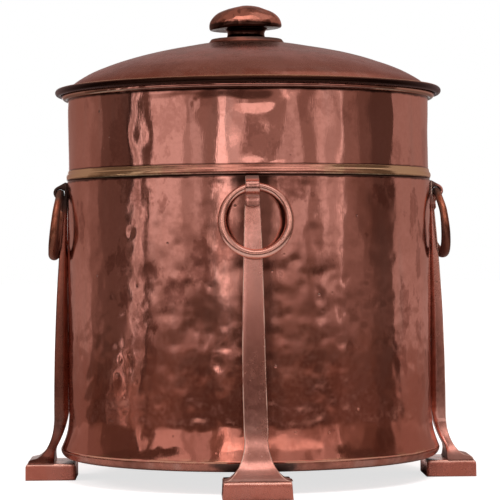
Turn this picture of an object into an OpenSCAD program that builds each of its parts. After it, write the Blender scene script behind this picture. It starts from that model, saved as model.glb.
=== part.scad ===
// Hammered copper coal scuttle with a domed lift-off lid, four forged legs on block feet
// and a drop ring in the eye at the top of each leg.
// Origin: on the floor under the middle of the drum. +Z is up and the front leg is on -Y.
// All sizes are in millimetres.

/* [Drum] */
// Outside diameter of the lower drum
drum_d = 344; // [320:1:380]
// Height of the drum wall, from the underside of the pan to its top edge
drum_h = 259.9; // [240:0.1:300]
// Thickness of the copper sheet in the drum, the collar and the pan
sheet_t = 1.5; // [1.2:0.1:1.8]
// How far the foot of the drum flares out beyond its side
flare_w = 7.2; // [4:0.1:9]
// Height over which the drum flares, above the crease where it meets the pan
flare_h = 34; // [24:1:44]
// Radius of the rounded corner of the pan
pan_corner_r = 8; // [6:0.5:12]
// Gap between the underside of the pan and the tops of the feet
pan_gap = 4.5; // [1:0.1:8]
// Height of the pan's upstand inside the drum
pan_lap = 10; // [6:0.5:14]

/* [Collar] */
// Height from the top edge of the drum to the middle of the rolled rim
collar_h = 79.2; // [60:0.2:100]
// Depth that the collar goes down inside the drum
collar_lap = 12; // [8:0.5:16]
// Outside thickness of the rolled rim
rim_roll_d = 6.2; // [5.4:0.1:7]
// Thickness of the wire inside the rolled rim
rim_wire_d = 3.2; // [2:0.1:3.6]
// Height of the belt moulding
belt_h = 9.6; // [8:0.1:12]
// Height of the rounded bead at the foot of the belt moulding
belt_bead_h = 5; // [4:0.1:7]
// How far the bead stands out from the collar
belt_w = 2.2; // [1.8:0.1:3]

/* [Lid] */
// How far the lid's rolled edge stands out beyond the collar
lid_overhang = 12.25; // [11:0.25:16]
// Thickness of the copper sheet in the lid
lid_t = 1.3; // [1:0.1:1.6]
// Rise of the dome above the valley inside the rolled edge
dome_h = 49.5; // [35:0.5:60]
// Outside thickness of the lid's rolled edge
lid_roll_d = 6.6; // [6:0.1:7.4]
// Thickness of the wire inside the lid's rolled edge
lid_wire_d = 4; // [3:0.1:4.4]
// Depth that the locating ring reaches down inside the collar
locator_h = 13; // [8:0.5:20]
// Radial play between the locating ring and the collar
locator_play = 1; // [0.5:0.1:1.6]

/* [Knob] */
// Widest diameter of the knob's cap
cap_d = 69.6; // [56:0.2:80]
// Height of the knob's cap
cap_h = 22; // [16:0.5:28]
// Diameter of the knob's neck at its waist
neck_d = 34; // [24:0.5:42]
// Height of the knob's neck
neck_h = 8.5; // [6:0.5:14]
// Diameter of the plate under the neck
plate_d = 72; // [50:0.5:80]
// Height of the plate under the neck, at its edge
plate_h = 4; // [3:0.1:6]
// Diameter of the stud that holds the knob
stud_d = 6; // [5:0.5:8]

/* [Legs] */
// Width of the leg bar below its taper
leg_w = 21.2; // [18:0.2:26]
// Width of the leg at its top
leg_top_w = 11.8; // [10:0.2:14]
// Thickness of the leg bar below its taper
leg_t = 13.5; // [12:0.1:16]
// Thickness of the leg bar just under the eye
leg_top_t = 3.4; // [3:0.1:4.5]
// Height of the forged spread above the foot, seen from the front
spread_h = 36; // [24:1:40]
// Height above the foot at which the bar begins to taper
knee_h = 44; // [40:1:56]
// Gap between the back of the leg and the crease of the drum
heel_gap = 5; // [3:0.2:7]
// Thickness of the strap that curls into the eye
strap_t = 1.8; // [1.5:0.1:2.2]
// Gap between the top of the leg and the top edge of the drum
leg_drop = 0.8; // [0.5:0.1:4]
// Height over which the top of the strap slopes out from the drum to the eye
crook_h = 3.4; // [2:0.1:5]
// Length of the tongue that ends the strap
tongue_l = 12; // [8:0.5:18]

/* [Feet] */
// Height of a foot
foot_h = 16; // [14:0.5:22]
// Width of a foot
foot_w = 61; // [50:0.5:70]
// How far a foot stands out beyond the side of the drum
foot_reach = 39.5; // [34:0.5:48]
// How far a foot reaches in under the drum
foot_tuck = 7; // [6:0.5:14]
// Radius of the rounded outer top edge of a foot
foot_round = 3.5; // [3:0.5:6]

/* [Rings] */
// Outside diameter of a drop ring
ring_d = 66; // [56:0.5:72]
// Thickness of the ring's wire
ring_wire_d = 6.8; // [6:0.1:7.4]
// Gap between a hanging ring and the face of its leg
ring_rest_gap = 0.5; // [0.3:0.1:2]

/* [Fixings] */
// Thread diameter of the screws that hold a leg to the drum
leg_screw_d = 4; // [3:0.5:5]
// Thread diameter of the screw that holds a foot to its leg
foot_screw_d = 5; // [4:0.5:6]
// Length of the foot screw above the foot
foot_screw_bite = 9; // [6:0.5:10]

/* [Hidden] */

$fn = 128;
fit = 0.05;         // play between pieces that are soldered or clamped together
lid_seat_gap = 0.3; // play between the lid and the rim it sits on
eye_play = 0.6;     // play between the ring's wire and its eye
leg_angles = [-90, 0, 90, 180]; // front, right, back, left

// Finishes
copper = [0.66, 0.40, 0.34];
copper_dark = [0.50, 0.30, 0.26];
copper_bright = [0.78, 0.50, 0.42];
brass = [0.66, 0.54, 0.34];
steel = [0.62, 0.62, 0.63];

// Drum and pan
drum_r = drum_d / 2;
drum_in_r = drum_r - sheet_t;
crease_r = drum_r + flare_w;
pan_z = foot_h + pan_gap;
crease_z = pan_z + pan_corner_r;
drum_top_z = pan_z + drum_h;

// Collar and rim
collar_r = drum_in_r - fit;
collar_in_r = collar_r - sheet_t;
rim_z = drum_top_z + collar_h;
rim_roll_r = collar_r + 0.45 * rim_roll_d;
rim_top_z = rim_z + rim_roll_d / 2;

// Lid: the locating ring sets the dome's wall, and the valley lies on the rim
locator_r = collar_in_r - locator_play;
wall_in_r = locator_r + fit;
wall_r = wall_in_r + lid_t;
dome_r = wall_r / 0.99;
dome_power = 0.69;
valley_low_z = rim_top_z + lid_seat_gap;
valley_z = valley_low_z + lid_t;
lid_roll_r = collar_r + lid_overhang - lid_roll_d / 2;
lid_roll_z = valley_z - lid_t / 2 + 0.15;

// Knob, stacked on the stud
stud_r = stud_d / 2;
stud_hole_r = stud_r + 0.1;
neck_z = dome_z(plate_d / 2) + plate_h;
cap_z = neck_z + neck_h;
cap_belly_z = cap_z + 0.14 * cap_h;
washer_r = 1.6 * stud_d;
washer_t = 1.2;
washer_top_z = dome_under_z(washer_r) - fit;
nut_h = 0.8 * stud_d;
nut_top_z = washer_top_z - washer_t;
stud_low_z = nut_top_z - nut_h - 2;
stud_top_z = cap_z + 0.6 * cap_h;

// Eye of a leg, which is also the hinge of its ring
ring_r = (ring_d - ring_wire_d) / 2;
wire_r = ring_wire_d / 2;
ring_sag = ring_r - sqrt(ring_r * ring_r - leg_top_w * leg_top_w / 4);
eye_hole_r = wire_r + ring_sag + eye_play;
eye_r = drum_r + fit + strap_t + eye_hole_r;
eye_out_r = eye_hole_r + strap_t;
leg_top_z = drum_top_z - leg_drop;
eye_z = leg_top_z - crook_h - eye_out_r;
eye_low_z = eye_z - eye_out_r;

// Leg bar, and the tilt at which a hanging ring rests on it
knee_z = foot_h + knee_h;
ring_low_z = eye_z - 2 * ring_r;
ring_tilt = asin((drum_r + bar_t(ring_low_z) + wire_r + ring_rest_gap - eye_r) / (2 * ring_r));
tongue_low_z = eye_low_z - tongue_l;
foot_in_r = drum_r - foot_tuck;
foot_out_r = drum_r + foot_reach;
lip_w = 3;
lip_r = foot_out_r - foot_round - lip_w / 2;
heel_r = crease_r + heel_gap + 1;

// Screws
leg_screw_z = [for (k = [0.16, 0.48, 0.8]) knee_z + k * (eye_low_z - knee_z)];
leg_screw_bite = 0.6 * bar_t(leg_screw_z[2]);
leg_screw_head_r = leg_screw_d;
leg_screw_head_h = 0.55 * leg_screw_d;
leg_screw_seat = sqrt(pow(drum_in_r, 2) - pow(leg_screw_head_r, 2)) - fit;
foot_screw_r = heel_r + foot_screw_d;
foot_screw_sink = 0.5;

// Points along an arc of an ellipse
function arc(x, y, rx, ry, from, to, steps) = [
    for (i = [0:steps])
        let (a = from + (to - from) * i / steps)
            [x + rx * cos(a), y + ry * sin(a)]
];

// Outside radius of the drum at height z
function drum_side(z) = drum_r + flare_w * pow(max(0, 1 - (z - crease_z) / flare_h), 1.5);

// Height of the dome at radius r, on top and underneath
function dome_z(r) = valley_z + dome_h * pow(1 - pow(r / dome_r, 2), dome_power);
function dome_under_z(r) = dome_z(r * wall_r / wall_in_r) - lid_t;

// Thickness of the leg bar and its width at height z
function bar_t(z) = leg_t - (leg_t - leg_top_t) * pow((z - knee_z) / (eye_low_z - knee_z), 2);
function bar_w(z) = leg_w - (leg_w - leg_top_w) * pow((z - knee_z) / (leg_top_z - knee_z), 2);

// Back of the leg where it leaves the flare of the drum
function leg_back(z) = drum_side(z) + fit + heel_gap * (1 - (z - crease_z) / flare_h);

// Cylinder along the radial direction, from radius r outwards at height z
module radial_rod(r, z, d, length) {
    translate([r, 0, z]) rotate([0, 90, 0]) cylinder(d = d, h = length);
}

// ---- Body ----

// Dished pan: flat floor, rounded corner and an upstand that laps the drum from inside
module base_pan() {
    lap_z = [for (i = [0:4]) crease_z + pan_lap * i / 4];
    upstand = sheet_t + fit;
    inner_corner = acos((pan_corner_r - upstand - sheet_t) / (pan_corner_r - sheet_t));
    color(copper_dark) rotate_extrude() polygon(concat(
        [[0, pan_z + sheet_t], [0, pan_z]],
        arc(crease_r - pan_corner_r, crease_z, pan_corner_r, pan_corner_r, -90, 0, 10),
        [for (z = lap_z) [drum_side(z) - upstand, z]],
        [for (i = [4:-1:0]) [drum_side(lap_z[i]) - upstand - sheet_t, lap_z[i]]],
        arc(crease_r - pan_corner_r, crease_z, pan_corner_r - sheet_t, pan_corner_r - sheet_t,
            -inner_corner, -90, 8)
    ));
}

// Lower drum: a cylinder of sheet that flares out to the crease at its foot
module lower_drum() {
    flare = [for (i = [0:10]) crease_z + flare_h * i / 10];
    color(copper) difference() {
        rotate_extrude() polygon(concat(
            [for (z = flare) [drum_side(z), z]],
            [[drum_r, drum_top_z], [drum_in_r, drum_top_z]],
            [for (i = [10:-1:0]) [drum_side(flare[i]) - sheet_t, flare[i]]]
        ));
        for (a = leg_angles, z = leg_screw_z)
            rotate(a) radial_rod(drum_in_r - 5, z, leg_screw_d + 0.3, 10);
    }
}

// Belt moulding: leans out from the collar to a rounded bead, soldered on the drum's edge
module belt_moulding() {
    back = collar_r + fit;
    bead_r = 1;
    color(brass) rotate_extrude() polygon(concat(
        [[back, drum_top_z]],
        arc(back + belt_w - bead_r, drum_top_z + belt_bead_h / 2, bead_r, belt_bead_h / 2, -75, 50, 10),
        [[back + 0.5, drum_top_z + belt_h - 0.4], [back, drum_top_z + belt_h]]
    ));
}

// Outline of a rolled edge round its wire
module roll_outline(r, z, roll_d) {
    translate([r, z]) circle(d = roll_d);
}

// Upper collar: plain cylinder of sheet, its top turned out and rolled round a wire
module upper_collar() {
    color(copper) rotate_extrude() difference() {
        union() {
            translate([collar_in_r, drum_top_z - collar_lap])
                square([sheet_t, collar_h + collar_lap + sheet_t]);
            translate([collar_in_r, rim_z]) square([rim_roll_r - collar_in_r, sheet_t]);
            roll_outline(rim_roll_r, rim_z, rim_roll_d);
        }
        roll_outline(rim_roll_r, rim_z, rim_wire_d + 2 * fit);
    }
}

// Wire inside the rolled rim
module rim_wire() {
    color(steel) rotate_extrude() roll_outline(rim_roll_r, rim_z, rim_wire_d);
}

// ---- Legs and feet ----

// Side outline of a leg: radius across, height up; the top slopes down to a tangent of the eye
module leg_side() {
    top_dx = eye_r - drum_r - strap_t;
    top_dz = leg_top_z - eye_z;
    crook_a = atan2(top_dz, -top_dx) - acos(eye_out_r / norm([top_dx, top_dz]));
    back_z = [for (i = [0:6]) crease_z + flare_h * i / 6];
    face_z = [for (i = [0:10]) knee_z + (eye_low_z + strap_t - knee_z) * i / 10];
    knee_r = drum_r + leg_t;
    difference() {
        union() {
            polygon(concat(
                [[heel_r, foot_h]],
                arc(lip_r, foot_h, lip_w, lip_w, 0, 90, 4),
                arc(lip_r, knee_z, lip_r - knee_r, knee_z - foot_h - lip_w, 267, 183, 12),
                [for (z = face_z) [drum_r + bar_t(z), z]],
                [[drum_r - 2, eye_low_z + strap_t], [drum_r - 2, crease_z + flare_h]],
                [for (i = [6:-1:0]) [leg_back(back_z[i]), back_z[i]]]
            ));
            polygon([
                [drum_r - 2, eye_low_z], [eye_r, eye_low_z + strap_t / 2], [eye_r, eye_z],
                [eye_r + eye_out_r * cos(crook_a), eye_z + eye_out_r * sin(crook_a)],
                [drum_r + strap_t, leg_top_z], [drum_r - 2, leg_top_z],
            ]);
            translate([eye_r, eye_z]) circle(r = eye_out_r);
        }
        translate([eye_r, eye_z]) circle(r = eye_hole_r);
    }
}

// Front outline of a leg: width across, height up
module leg_front_outline() {
    edge = concat(
        [[foot_w / 2 - 0.5, foot_h]],
        arc(foot_w / 2, foot_h + spread_h, (foot_w - leg_w) / 2, spread_h, 264, 180, 12),
        [for (i = [0:10]) let (z = knee_z + (leg_top_z - knee_z) * i / 10) [bar_w(z) / 2, z]],
        [[leg_top_w / 2, leg_top_z + 1]]
    );
    polygon(concat(edge, [for (i = [len(edge) - 1:-1:0]) [-edge[i][0], edge[i][1]]]));
}

// Tongue: the pointed end of the strap, lying on the face of the bar
module leg_tongue() {
    half = bar_w(tongue_low_z) / 2 - 0.3;
    top = eye_low_z + strap_t;
    translate([drum_r + 1, 0, 0]) rotate([90, 0, 90])
        linear_extrude(height = bar_t(tongue_low_z) + strap_t - 1)
            polygon([
                [-half, tongue_low_z + 2], [0, tongue_low_z], [half, tongue_low_z + 2],
                [half - 0.5, top], [-half + 0.5, top],
            ]);
}

// One forged leg at angle a, with tapped holes for its screws
module leg(a) {
    color(copper_bright) rotate(a) difference() {
        union() {
            intersection() {
                rotate([90, 0, 0]) linear_extrude(height = foot_w, center = true) leg_side();
                translate([drum_r - 5, 0, 0]) rotate([90, 0, 90])
                    linear_extrude(height = foot_reach + 5) leg_front_outline();
            }
            leg_tongue();
        }
        cylinder(r = drum_r + fit, h = drum_top_z);
        for (z = leg_screw_z)
            radial_rod(drum_r - 5, z, leg_screw_d + 2 * fit, 5 + leg_screw_bite + 0.5);
        translate([foot_screw_r, 0, foot_h - 1])
            cylinder(d = foot_screw_d + 2 * fit, h = foot_screw_bite + 1.5);
    }
}

// One block foot at angle a, bored and countersunk for its screw
module foot(a) {
    length = foot_out_r - foot_in_r;
    draft = 1;
    color(copper) rotate(a) difference() {
        intersection() {
            translate([foot_in_r, 0, 0]) rotate([90, 0, 0])
                linear_extrude(height = foot_w, center = true)
                    polygon(concat(
                        [[0, 0], [length - 0.6, 0], [length, 0.8]],
                        arc(length - foot_round, foot_h - foot_round, foot_round, foot_round, 0, 90, 6),
                        [[0, foot_h]]
                    ));
            translate([foot_in_r - 1, 0, 0]) rotate([90, 0, 90])
                linear_extrude(height = length + 2)
                    polygon([
                        [-foot_w / 2, 0], [foot_w / 2, 0],
                        [foot_w / 2 - draft / 2, foot_h - draft], [foot_w / 2 - draft, foot_h],
                        [draft - foot_w / 2, foot_h], [draft / 2 - foot_w / 2, foot_h - draft],
                    ]);
        }
        translate([foot_screw_r, 0, -1]) cylinder(d = foot_screw_d + 0.4, h = foot_h + 2);
        translate([foot_screw_r, 0, -0.01])
            cylinder(d1 = 2 * foot_screw_d + 1.4, d2 = foot_screw_d + 0.4, h = foot_screw_d / 2 + 0.51);
    }
}

module leg_front() leg(leg_angles[0]);
module leg_right() leg(leg_angles[1]);
module leg_back_side() leg(leg_angles[2]);
module leg_left() leg(leg_angles[3]);
module foot_front() foot(leg_angles[0]);
module foot_right() foot(leg_angles[1]);
module foot_back() foot(leg_angles[2]);
module foot_left() foot(leg_angles[3]);

// Round-head screws, put in from inside the drum, three to a leg
module leg_screws() {
    color(brass) for (a = leg_angles, z = leg_screw_z)
        rotate(a) translate([leg_screw_seat, 0, z]) rotate([0, 90, 0]) difference() {
            union() {
                cylinder(d = leg_screw_d, h = drum_r - leg_screw_seat + leg_screw_bite);
                rotate_extrude() polygon(concat(
                    [[0, 0]],
                    arc(0, 0, leg_screw_head_r, -leg_screw_head_h, 0, 90, 6)
                ));
            }
            translate([0, 0, -leg_screw_head_h])
                cube([3 * leg_screw_d, 0.25 * leg_screw_d, leg_screw_head_h], center = true);
        }
}

// Countersunk screws, one up through each foot into its leg
module foot_screws() {
    head_h = foot_screw_d / 2;
    color(steel) for (a = leg_angles)
        rotate(a) translate([foot_screw_r, 0, foot_screw_sink]) difference() {
            union() {
                cylinder(d = foot_screw_d, h = foot_h - foot_screw_sink + foot_screw_bite);
                cylinder(d1 = 2 * foot_screw_d, d2 = foot_screw_d, h = head_h);
            }
            cube([3 * foot_screw_d, 0.2 * foot_screw_d, 0.5 * head_h], center = true);
        }
}

// ---- Drop rings ----

// One ring at angle a, hanging in its eye and resting towards the leg
module ring(a) {
    color(copper_bright) rotate(a) translate([eye_r, 0, eye_z]) rotate([0, -ring_tilt, 0])
        translate([0, 0, -ring_r]) rotate([0, 90, 0])
            rotate_extrude() translate([ring_r, 0]) circle(r = wire_r);
}

module ring_front() ring(leg_angles[0]);
module ring_right() ring(leg_angles[1]);
module ring_back() ring(leg_angles[2]);
module ring_left() ring(leg_angles[3]);

// ---- Lid ----

// Dome, valley and rolled edge, raised from one sheet
module lid_dome() {
    steps = 28;
    roll_r = lid_roll_d / 2;
    radii = [for (i = [0:steps]) max(stud_hole_r, wall_r * sin(90 * i / steps))];
    color(copper_dark) rotate_extrude() difference() {
        polygon(concat(
            [for (r = radii) [r, dome_z(r)]],
            [[wall_r, valley_z]],
            arc(lid_roll_r, lid_roll_z, roll_r, roll_r, 180 - asin((valley_z - lid_roll_z) / roll_r),
                asin((lid_roll_z - valley_low_z) / roll_r) - 180, 32),
            [[wall_in_r, valley_low_z]],
            [for (i = [steps:-1:0])
                let (r = max(stud_hole_r, radii[i] * wall_in_r / wall_r))
                    [r, dome_under_z(r)]]
        ));
        roll_outline(lid_roll_r, lid_roll_z, lid_wire_d + 2 * fit);
    }
}

// Wire inside the lid's rolled edge
module lid_wire() {
    color(steel) rotate_extrude() roll_outline(lid_roll_r, lid_roll_z, lid_wire_d);
}

// Ring soldered inside the dome's wall, which drops into the collar
module lid_locating_ring() {
    low = valley_low_z - locator_h;
    color(copper) rotate_extrude()
        translate([locator_r - lid_t, low]) square([lid_t, dome_under_z(wall_in_r) - fit - low]);
}

// Stepped plate under the neck, dished to the dome
module knob_plate() {
    edge_r = plate_d / 2;
    color(copper_dark) rotate_extrude() polygon(concat(
        [for (i = [0:6]) let (r = stud_hole_r + (edge_r - stud_hole_r) * i / 6) [r, dome_z(r) + fit]],
        [[edge_r - 0.4, dome_z(edge_r) + 1.2], [edge_r - 2.5, neck_z], [stud_hole_r, neck_z]]
    ));
}

// Waisted neck between the plate and the cap
module knob_neck() {
    waist = neck_d / 2;
    color(copper_bright) rotate_extrude() polygon(concat(
        [[stud_hole_r, neck_z], [waist + 3, neck_z]],
        arc(waist + 3, neck_z + neck_h / 2, 3, neck_h / 2 - 0.8, 270, 90, 8),
        [[waist + 3, cap_z], [stud_hole_r, cap_z]]
    ));
}

// Mushroom cap with a blind bore for the stud
module knob_cap() {
    belly_r = cap_d / 2;
    edge = 1.8;
    color(copper) difference() {
        rotate_extrude() polygon(concat(
            [[0, cap_z]],
            arc(belly_r - edge, cap_belly_z, edge, cap_belly_z - cap_z, -90, 0, 6),
            arc(0, cap_belly_z, belly_r, cap_z + cap_h - cap_belly_z, 5, 90, 17)
        ));
        translate([0, 0, cap_z - 1]) cylinder(r = stud_r + fit, h = stud_top_z - cap_z + 1.5);
    }
}

// Stud through the plate, neck and dome
module knob_stud() {
    color(steel) translate([0, 0, stud_low_z]) cylinder(r = stud_r, h = stud_top_z - stud_low_z);
}

// Washer under the dome
module knob_washer() {
    color(steel) translate([0, 0, washer_top_z - washer_t]) difference() {
        cylinder(r = washer_r, h = washer_t);
        translate([0, 0, -1]) cylinder(r = stud_hole_r, h = washer_t + 2);
    }
}

// Hexagon nut that clamps the knob
module knob_nut() {
    color(steel) translate([0, 0, nut_top_z - nut_h]) difference() {
        cylinder(r = 0.95 * stud_d, h = nut_h, $fn = 6);
        translate([0, 0, -1]) cylinder(r = stud_r + fit, h = nut_h + 2);
    }
}

base_pan();
lower_drum();
belt_moulding();
upper_collar();
rim_wire();
leg_front();
leg_right();
leg_back_side();  // leg_back
leg_left();
foot_front();
foot_right();
foot_back();
foot_left();
leg_screws();
foot_screws();
ring_front();
ring_right();
ring_back();
ring_left();
lid_dome();
lid_wire();
lid_locating_ring();
knob_plate();
knob_neck();
knob_cap();
knob_stud();
knob_washer();
knob_nut();
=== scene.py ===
import math

import bmesh
import bpy
import numpy as np
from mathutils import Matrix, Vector, noise


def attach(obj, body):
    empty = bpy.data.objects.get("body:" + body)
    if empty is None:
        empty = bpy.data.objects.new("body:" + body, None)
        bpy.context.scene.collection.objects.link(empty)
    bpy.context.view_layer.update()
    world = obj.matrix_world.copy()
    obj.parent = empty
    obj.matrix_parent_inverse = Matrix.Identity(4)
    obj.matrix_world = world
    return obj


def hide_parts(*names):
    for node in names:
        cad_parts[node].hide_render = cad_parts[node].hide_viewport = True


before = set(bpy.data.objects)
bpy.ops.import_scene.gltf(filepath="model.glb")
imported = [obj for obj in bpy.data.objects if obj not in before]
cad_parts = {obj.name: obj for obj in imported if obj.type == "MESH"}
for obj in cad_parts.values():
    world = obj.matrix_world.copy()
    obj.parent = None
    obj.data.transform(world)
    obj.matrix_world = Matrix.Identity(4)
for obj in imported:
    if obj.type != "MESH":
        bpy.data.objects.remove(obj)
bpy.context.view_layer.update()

mm = 0.001
legTurns = {"front": -90, "right": 0, "back": 90, "left": 180}  # angle of each leg round the drum


def arcPoints(x, y, rx, ry, start, end, steps):
    angles = np.radians(np.linspace(start, end, steps + 1))
    return [(x + rx * math.cos(a), y + ry * math.sin(a)) for a in angles]


def spaced(points, gap):
    # the same outline with a point at least every gap
    out = [points[0]]
    for (ax, ay), (bx, by) in zip(points, points[1:]):
        count = max(1, math.ceil(math.hypot(bx - ax, by - ay) / gap))
        out += [(ax + (bx - ax) * k / count, ay + (by - ay) * k / count) for k in range(1, count + 1)]
    return out


def makeObject(name, verts, faces, material, body, nodes=()):
    mesh = bpy.data.meshes.new(name)
    mesh.from_pydata([tuple(v) for v in verts], [], faces)
    mesh.validate()
    mesh.update()
    obj = bpy.data.objects.new(name, mesh)
    bpy.context.scene.collection.objects.link(obj)
    fixed = bmesh.new()
    fixed.from_mesh(mesh)
    bmesh.ops.recalc_face_normals(fixed, faces=fixed.faces)
    fixed.to_mesh(mesh)
    fixed.free()
    mesh.materials.append(material)
    for polygon in mesh.polygons:
        polygon.use_smooth = True
    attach(obj, body)
    if nodes:
        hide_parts(*nodes)
    return obj


def turnOutline(outline, steps, closed=True):
    # outline is (radius, height) in mm; returns points in metres and faces of the turned shape
    rings = len(outline)
    angles = np.arange(steps) * 2 * math.pi / steps
    verts, index = [], []
    for r, z in outline:
        if r < 1e-6:
            index.append([len(verts)] * steps)
            verts.append((0.0, 0.0, z * mm))
        else:
            index.append(list(range(len(verts), len(verts) + steps)))
            verts += [(r * mm * math.cos(a), r * mm * math.sin(a), z * mm) for a in angles]
    faces = []
    last = rings if closed else rings - 1
    for i in range(last):
        low, high = index[i], index[(i + 1) % rings]
        if low[0] == low[1] and high[0] == high[1]:
            continue
        for k in range(steps):
            n = (k + 1) % steps
            face = [low[k], low[n], high[n], high[k]]
            faces.append([v for j, v in enumerate(face) if v not in face[:j]])
    return np.array(verts), faces


def dentDepth(verts, centres, radii, depths):
    # how far each point is beaten in by round marks at the centres
    total = np.zeros(len(verts))
    order = np.argsort(centres[:, 2])
    centres, radii, depths = centres[order], radii[order], depths[order]
    reach = 3 * radii.max()
    rows = np.argsort(verts[:, 2])
    for chunk in np.array_split(rows, max(1, len(rows) // 1500)):
        low = np.searchsorted(centres[:, 2], verts[chunk, 2].min() - reach)
        high = np.searchsorted(centres[:, 2], verts[chunk, 2].max() + reach)
        if low == high:
            continue
        gap = ((verts[chunk, None, :] - centres[None, low:high, :]) ** 2).sum(2)
        total[chunk] = (depths[low:high] * np.exp(-gap / radii[low:high] ** 2)).sum(1)
    return total


def drumMarks(seed, radius, low, high, pitch, size, depth, tall):
    # planishing marks in rough rows round a drum, in metres; tall spaces them out upwards
    draw = np.random.default_rng(seed)
    centres, radii, depths = [], [], []
    rows = max(1, round((high - low) / (pitch * tall)))
    around = round(2 * math.pi * radius / pitch)
    for row in range(rows):
        for k in range(around):
            turn = (k + 0.5 * (row % 2) + draw.uniform(-0.36, 0.36)) * 2 * math.pi / around
            z = low + (row + 0.5 + draw.uniform(-0.4, 0.4)) * (high - low) / rows
            centres.append((radius * math.cos(turn), radius * math.sin(turn), z))
            radii.append(size * draw.uniform(0.7, 1.3))
            depths.append(depth * draw.uniform(0.15, 1.0) ** 1.3)
    return np.array(centres) * mm, np.array(radii) * mm, np.array(depths) * mm


def waves(verts, scale, seed):
    # slow seeded noise at each point, about -1 to 1; scale is (x, y, z) per metre
    offset = Vector((seed * 3.7, seed * 1.9, seed * 2.3))
    return np.array([noise.noise(Vector((v[0] * scale[0], v[1] * scale[1], v[2] * scale[2])) + offset)
                     for v in verts])


def smoothStep(low, high, value):
    t = np.clip((value - low) / (high - low), 0, 1)
    return t * t * (3 - 2 * t)


def addNode(tree, kind, inputs=None, **settings):
    made = tree.nodes.new(kind)
    for key, value in settings.items():
        setattr(made, key, value)
    for key, value in (inputs or {}).items():
        if isinstance(value, bpy.types.NodeSocket):
            tree.links.new(value, made.inputs[key])
        else:
            made.inputs[key].default_value = value
    return made


def noiseAt(tree, place, scale, detail=4.0, rough=0.55, stretch=(1, 1, 1)):
    moved = addNode(tree, "ShaderNodeMapping", {"Vector": place, "Scale": stretch})
    return addNode(tree, "ShaderNodeTexNoise", {"Vector": moved.outputs[0], "Scale": scale,
                                                "Detail": detail, "Roughness": rough}).outputs[0]


def remap(tree, value, low, high, toLow=0.0, toHigh=1.0):
    return addNode(tree, "ShaderNodeMapRange", {0: value, 1: low, 2: high, 3: toLow, 4: toHigh},
                   interpolation_type="SMOOTHSTEP").outputs[0]


def calc(tree, kind, a, b=0.0):
    return addNode(tree, "ShaderNodeMath", {0: a, 1: b}, operation=kind).outputs[0]


def times(tree, a, b):
    return calc(tree, "MULTIPLY", a, b)


def blendColour(tree, share, a, b):
    made = addNode(tree, "ShaderNodeMix", {0: share}, data_type="RGBA")
    for socket, value in ((made.inputs[6], a), (made.inputs[7], b)):
        if isinstance(value, bpy.types.NodeSocket):
            tree.links.new(value, socket)
        else:
            socket.default_value = (*value, 1)
    return made.outputs[2]


halfRadius = 0.086  # half of the drum's radius, in metres


def placeParts(tree, place):
    # height, distance from the axis, turn from front (0) to back (1), and metres to the nearest leg's middle
    parts = addNode(tree, "ShaderNodeSeparateXYZ", {0: place})
    x, y, z = parts.outputs
    away = calc(tree, "SQRT", calc(tree, "ADD", times(tree, x, x), times(tree, y, y)))
    turn = calc(tree, "DIVIDE", calc(tree, "ARCTAN2", x, times(tree, y, -1.0)), math.pi)
    doubled = calc(tree, "SINE", times(tree, turn, 2 * math.pi))
    beside = times(tree, calc(tree, "ABSOLUTE", doubled), halfRadius)
    return {"height": z, "away": away, "side": calc(tree, "ABSOLUTE", turn), "beside": beside}


paintedShade = (0.045, 0.030, 0.025)  # painted shade: dull dark, where less light falls
paintedDeepShade = (0.030, 0.014, 0.010)  # painted deep shade: near black, in creases and under parts
umber = (0.16, 0.06, 0.04)
# painted highlight in gold, for the drum's crease
paintedCreaseHighlight = (0.80, 0.62, 0.36)
rubbedAndHighlit = (0.97, 0.70, 0.56)  # edges bright with wear and a painted highlight


baseLook = {
    "polished": (0.90, 0.46, 0.37), "brown": (0.64, 0.29, 0.215), "film": (0.66, 0.45, 0.39),
    "edge": (0.92, 0.78, 0.74), "pit": (0.09, 0.05, 0.035), "cloudScale": 9.0, "brownShare": 0.85,
    "filmShare": 0.45, "stain": (0.30, 0.095, 0.065), "stainScale": 24.0, "stainShare": 0.0, "metal": 1.0,
    "fine": 0.10, "pitScale": 60.0, "pitShare": 0.8, "gloss": 0.07, "dull": 0.17, "planishScale": 42.0,
    "planish": 0.12, "wornShare": 0.0, "grimyBack": 0.0, "tints": [],
}


def patch(by, none, full, ragged, share, colour, also=None):
    # a tint laid on as a measure runs from none to full, with a ragged border; also is a second such limit
    return {"by": by, "none": none, "full": full, "ragged": ragged, "share": share, "colour": colour,
            "also": also}


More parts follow.
